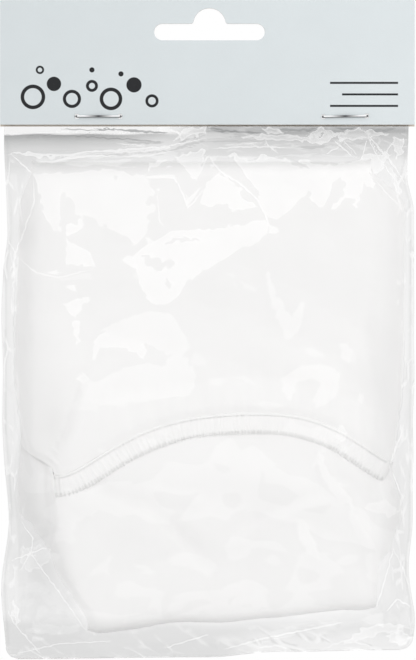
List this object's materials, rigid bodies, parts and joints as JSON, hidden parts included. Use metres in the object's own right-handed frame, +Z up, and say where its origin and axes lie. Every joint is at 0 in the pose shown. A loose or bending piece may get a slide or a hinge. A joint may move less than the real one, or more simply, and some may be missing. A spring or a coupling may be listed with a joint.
{
  "type": "shower cap",
  "caption": "White shower cap with a gathered elastic rim, folded flat in a clear film bag whose mouth is stapled under a folded header card with a hanging slot.",
  "frame": {"origin": "top of the arch of the hanging slot, on the middle plane of the folded card", "axes": "+X to the right seen from the front, +Z up as the pack hangs, -Y out of the front face"},
  "size_m": [0.12, 0.015, 0.1908],
  "materials": {
    "header_board": "matte uncoated board, pale blue grey",
    "staple_wire": "bright galvanised wire",
    "clear_film": "clear glossy film, creased",
    "cap_sheet": "soft white sheet, matte",
    "rim_strip": "the cap's own white sheet, gathered and sewn",
    "elastic_knit": "flat knitted elastic"
  },
  "bodies": {
    "root": {"header_card": "header_board", "staple_left": "staple_wire", "staple_right": "staple_wire", "film_bag": "clear_film", "cap_crown": "cap_sheet", "rim_casing": "rim_strip", "rim_elastic": "elastic_knit"}
  },
  "joints": []
}
